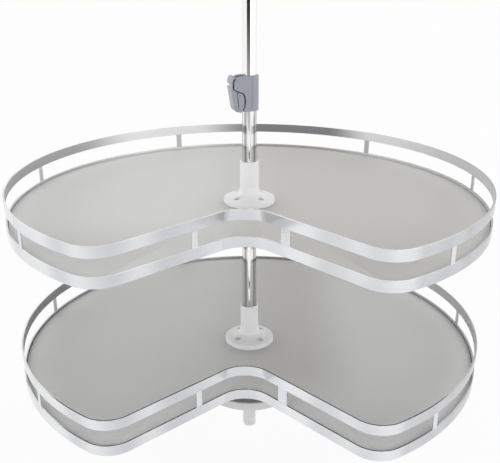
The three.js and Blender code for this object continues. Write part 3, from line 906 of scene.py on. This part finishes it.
clamp_level = extent("clamp_body")[0, 2]
clamp_turn = math.radians(17)
clamp_height = 60
collar_radius = 16.5    # half the width across the flat flanks
back_radius = 16.1      # of the round side
collar_bore = pole_radius + 0.2
slot_half = 8.8         # half the width of the gap between the ears
pin_x, pin_z = pin_place = (-20.5, 48.5)
nose_radius = 10.5      # of the ears' ends, round the pin
seam_gap = 2.2          # between collar and lever


def set_on_pole(points):
    """The clamp's points, turned towards the front and lifted to their place on the pole."""
    x, y, z = np.moveaxis(points, -1, 0)
    cos, sin = math.cos(clamp_turn), math.sin(clamp_turn)
    return np.stack([x * cos - y * sin, x * sin + y * cos, z + clamp_level], axis=-1)


def seam_line():
    """The collar's edge towards the lever, from its foot up round the nose: (x, z) in equal steps."""
    wave = rounded([
        (-15.1, 0, 0), (-12.8, 4.2, 5), (-10.9, 10.2, 14), (-10.4, 18, 14), (-11.2, 25.2, 9),
        (-13.6, 31.2, 3.5), (pin_x - nose_radius, 38.6, 4), (pin_x - nose_radius, pin_z, 0),
    ], closed=False)[:-1]
    nose = arc(pin_place, nose_radius, 180, 90, 4)
    path = np.concatenate([wave, nose])
    path = path[np.concatenate([[True], np.diff(path[:, 1]) > 1e-6])]
    travelled = np.concatenate([[0], np.cumsum(np.linalg.norm(np.diff(path, axis=0), axis=-1))])
    even = np.linspace(0, travelled[-1], int(travelled[-1] / 0.7))
    return np.stack([np.interp(even, travelled, path[:, k]) for k in (0, 1)], axis=-1)


def lever_line():
    """The seam moved towards the lever by the gap, square to its own direction."""
    seam = seam_line()
    ahead = np.gradient(seam, axis=0)
    ahead /= np.linalg.norm(ahead, axis=-1, keepdims=True)
    return seam + seam_gap * np.stack([-ahead[:, 1], ahead[:, 0]], axis=-1)


def ease(value):
    """v * v * (3 - 2 v), with v held between 0 and 1."""
    value = np.clip(value, 0, 1)
    return value * value * (3 - 2 * value)


def collar_shell():
    """The collar as level loops. A loop's point is (a + b s, y), with s the seam's x at that height:
    b is 1 at the ears' ends, falls to 0 along the flat flanks, and is 0 round the pole. The first and
    last loops draw in by e = r (1 - cos) while they rise by r sin, which rounds the edges. A fine
    groove marks the mould's parting line between flank and round side."""
    corner = 1.2
    bend = np.radians(np.linspace(180, 270, 5))
    ear = np.stack([1 + np.cos(bend), 1 + np.sin(bend)], axis=-1) * corner - (0, collar_radius)
    flank = np.linspace(1, 0, 30)[1:]
    half = np.radians(np.linspace(-90, 90, 61))
    back = np.where(abs(half) > 1.55, back_radius - 0.7, back_radius)
    split = math.atan2(slot_half, math.sqrt(collar_bore ** 2 - slot_half ** 2))
    bore = np.linspace(-math.pi + split, math.pi - split, 61)

    a = np.concatenate([
        ear[:, 0], flank * corner, back * np.cos(half), flank[::-1] * corner, ear[::-1, 0],
        [0.4, 2.0], collar_bore * np.cos(bore[::-1]), [2.0, 0.4],
    ])
    b = np.concatenate([
        np.ones(len(bend)), flank, np.zeros(len(half)), flank[::-1], np.ones(len(bend)),
        [1, 1], np.zeros(len(bore)), [1, 1],
    ])
    side = np.full(len(flank), collar_radius)
    y = np.concatenate([
        ear[:, 1], -side, back * np.sin(half), side, -ear[::-1, 1],
        [slot_half] * 2, collar_bore * np.sin(bore[::-1]), [-slot_half] * 2,
    ])
    inner = np.arange(len(a)) >= 2 * (len(bend) + len(flank)) + len(half)

    seam = seam_line()
    round_off = np.radians(np.linspace(0, 90, 6))
    edge = 1.3
    drawn_in = edge * (1 - np.cos(round_off))
    heights = np.concatenate([edge * (1 - np.sin(round_off[::-1])), seam[:, 1], edge * np.sin(round_off)])
    draw = np.concatenate([drawn_in[::-1], 0 * seam[:, 0], drawn_in])
    few = len(round_off)
    kind = np.concatenate([np.full(few, -1), np.zeros(len(seam)), np.ones(few)])
    ends = np.concatenate([np.full(few, seam[0, 0]), seam[:, 0], np.full(few, seam[-1, 0])])

    x = a + b * ends[:, None]
    top = clamp_height - 1.2 * ease((-4 - x) / 10)
    lift = np.where(kind[:, None] > 0, top - edge + heights[:, None], heights[:, None])
    middle = (kind == 0)[:, None]
    lift = np.where(middle, edge + lift * (top - 2 * edge) / seam[-1, 1], lift)
    draw = draw[:, None]
    shrink = np.where(inner, 1 + 0.5 * draw / collar_bore, 1 - draw / collar_radius)
    round_the_pole = b == 0
    x = np.where(round_the_pole, x * shrink, x + draw * (b == 1))
    flat = y + np.sign(y) * draw * np.where(inner, 0.5, -1)
    wide = np.where(round_the_pole, y * shrink, flat)
    return closed_stack(set_on_pole(np.stack([x, wide, lift], axis=-1)))


def grip_shell():
    """The lever's grip as level loops between its outer face and the seam. Its inside clears the
    collar: x = min(seam's x, -sqrt(R^2 - y^2)). The outer edges are rounded by 2.5 mm, and a narrow
    groove runs down each flank."""
    outer = rounded([
        (-19, -1.2, 0), (-28.2, 0.5, 3), (-30.6, 7, 10), (-35.5, 38.8, 1.2), (-35.2, 40.8, 0),
    ], closed=False)
    seam = lever_line()
    levels = np.unique(np.concatenate([np.linspace(-1, 4, 12), np.linspace(4, 40.8, 64)]))
    face = np.interp(levels, outer[:, 1], outer[:, 0])
    right = np.maximum(np.interp(levels, seam[:, 1], seam[:, 0]), face + 0.4)

    turn = np.radians(np.linspace(180, 270, 9))
    share = np.linspace(0, 1, 60)
    span = (right - face)[:, None]
    corner = np.minimum(2.5, 0.45 * span)
    arc_x = face[:, None] + corner * (1 + np.cos(turn))
    arc_y = -collar_radius + corner * (1 + np.sin(turn))
    flank_x = face[:, None] + corner + (span - corner - 0.5) * share[1:]
    groove_x = np.interp(levels, (5, 32.5), (-22.9, -25.3))[:, None]
    groove_ends = (ease((levels - 3) / 6) * ease((36 - levels) / 6))[:, None]
    groove_depth, groove_half = 2.4, 0.5
    depth = groove_depth * np.exp(-((flank_x - groove_x) / groove_half) ** 2) * groove_ends
    flank_y = -collar_radius + depth
    inside = np.linspace(-collar_radius + 0.5, collar_radius - 0.5, 33)
    room = -np.sqrt((collar_radius + seam_gap) ** 2 - inside ** 2)
    inside_x = np.maximum(np.minimum(right[:, None], room), face[:, None] + 0.3)
    inside_y = np.broadcast_to(inside, inside_x.shape)
    x = np.concatenate([arc_x, flank_x, inside_x, flank_x[:, ::-1], arc_x[:, ::-1]], axis=1)
    y = np.concatenate([arc_y, flank_y, inside_y, -flank_y[:, ::-1], -arc_y[:, ::-1]], axis=1)
    z = np.broadcast_to(levels[:, None], x.shape)
    return closed_stack(set_on_pole(np.stack([x, y, z], axis=-1)))


def across_shell(outline, half_width, edge, centre=0):
    """A side view (x, z) given thickness along Y; the loops near both ends shrink to round the edges."""
    outline = np.asarray(outline, float)
    middle = outline.mean(axis=0)
    size = np.linalg.norm(outline - middle, axis=-1).mean()
    bend = np.radians(np.linspace(0, 90, 6))
    round_off = half_width - edge * (1 - np.sin(bend))
    places = centre + np.concatenate([-round_off[::-1], round_off])
    shrink = 1 - edge / size * np.concatenate([1 - np.cos(bend[::-1]), 1 - np.cos(bend)])
    flat = middle + (outline - middle) * shrink[:, None, None]
    y = np.broadcast_to(places[:, None], flat.shape[:2])
    return closed_stack(set_on_pole(np.stack([flat[..., 0], y, flat[..., 1]], axis=-1)))


cap_radius = 14.8
cap_tip_radius = 13.2
knuckle_bore = 5.2
cam_radius = 7.2
cam_x = pin_x + 0.5     # off the pin's axis, which is what grips
pin_radius, pin_half = 2.5, 15
knuckle_half = slot_half - 0.8
cheek_half = collar_radius - 0.2
knuckle = np.concatenate([
    arc(pin_place, cap_radius, 130, 200, 3),
    arc(pin_place, knuckle_bore, 200, 130, 20),
])
nose_room = nose_radius + seam_gap
room_x = pin_x - nose_room
cheeks = np.concatenate([
    arc(pin_place, cap_tip_radius, 131, 131, 3),
    arc(pin_place, cap_radius, 143, 191, 3),
    [(room_x, 45)],
    arc(pin_place, nose_room, 180, 131, 3),
])
bridge = [(-35.2, 47), (-35.2, 40), (room_x, 40), (room_x, 47)]
tongue = [(-33.5, 42), (-33.5, 34), (-14, 24), (-14, 35), (-24, 42)]
cam = arc((cam_x, pin_z), cam_radius, 0, 350, 10)
lever = [
    grip_shell(),
    across_shell(knuckle, knuckle_half, 1.2),
    across_shell(cheeks, cheek_half, 0.6),
    across_shell(bridge, 7, 0.4, centre=-9.3),
    across_shell(tongue, knuckle_half, 0.4),
    across_shell(cam, knuckle_half, 0.4),
]
make_piece("clamp_collar", [collar_shell()], grey, "pole_top", ["clamp_body"])
make_piece("clamp_cam_lever", lever, grey, "lever", ["clamp_lever"])
pin = across_shell(arc(pin_place, pin_radius, 0, 350, 10), pin_half, 0.3)
make_piece("clamp_pin", [pin], zinc, "pole_top", ["clamp_lever_pin"])


# ---- Top bearing ----------------------------------------------------------------------------------
# A grey plug is pressed into the pole's upper end. It turns on the pivot of a white plate that four
# screws hold to the underside of the cupboard's top.

top_plug = plug(pole_end, inward=-1, length=26)
make_piece("top_plug", [round_shell(top_plug)], grey, "pole_top", ["pole_top_plug"])
pivot_tip, ceiling_level = extent("ceiling_plate")[:, 2]
plate_radius = 32
plate_level = ceiling_level - 6         # underside of the plate
collar_level = plate_level - 5          # underside of the collar over the plug
collar_edge = 16
plate_screw_circle = 24
plate_profile = rounded([
    (0, pivot_tip, 0), (pivot_radius, pivot_tip, 1.0), (pivot_radius, collar_level, 0.6),
    (collar_edge, collar_level, 1.2), (collar_edge, plate_level, 0.8),
    (plate_radius, plate_level, 1.6), (plate_radius, ceiling_level, 0.4), (0, ceiling_level, 0),
], closed=False)
plate_profile = denser(plate_profile, plate_screw_circle - 6, plate_screw_circle + 6, 0.4)
plate = turned(plate_profile, gathered(8, 0.7))
flip = (1, 1, -1)       # the holes are sunk into the plate's underside
face = (-plate_level - 0.5, -plate_level + 0.5)
plate = sunk(plate * flip, plate_screw_circle, flat=2.3, floor=1.5 - ceiling_level, slope=1.6, face=face)
plate_shell = (plate * flip, grid_faces(plate, (True, False)))
make_piece("ceiling_bearing", [plate_shell], white, "top_bearing", ["ceiling_plate"])
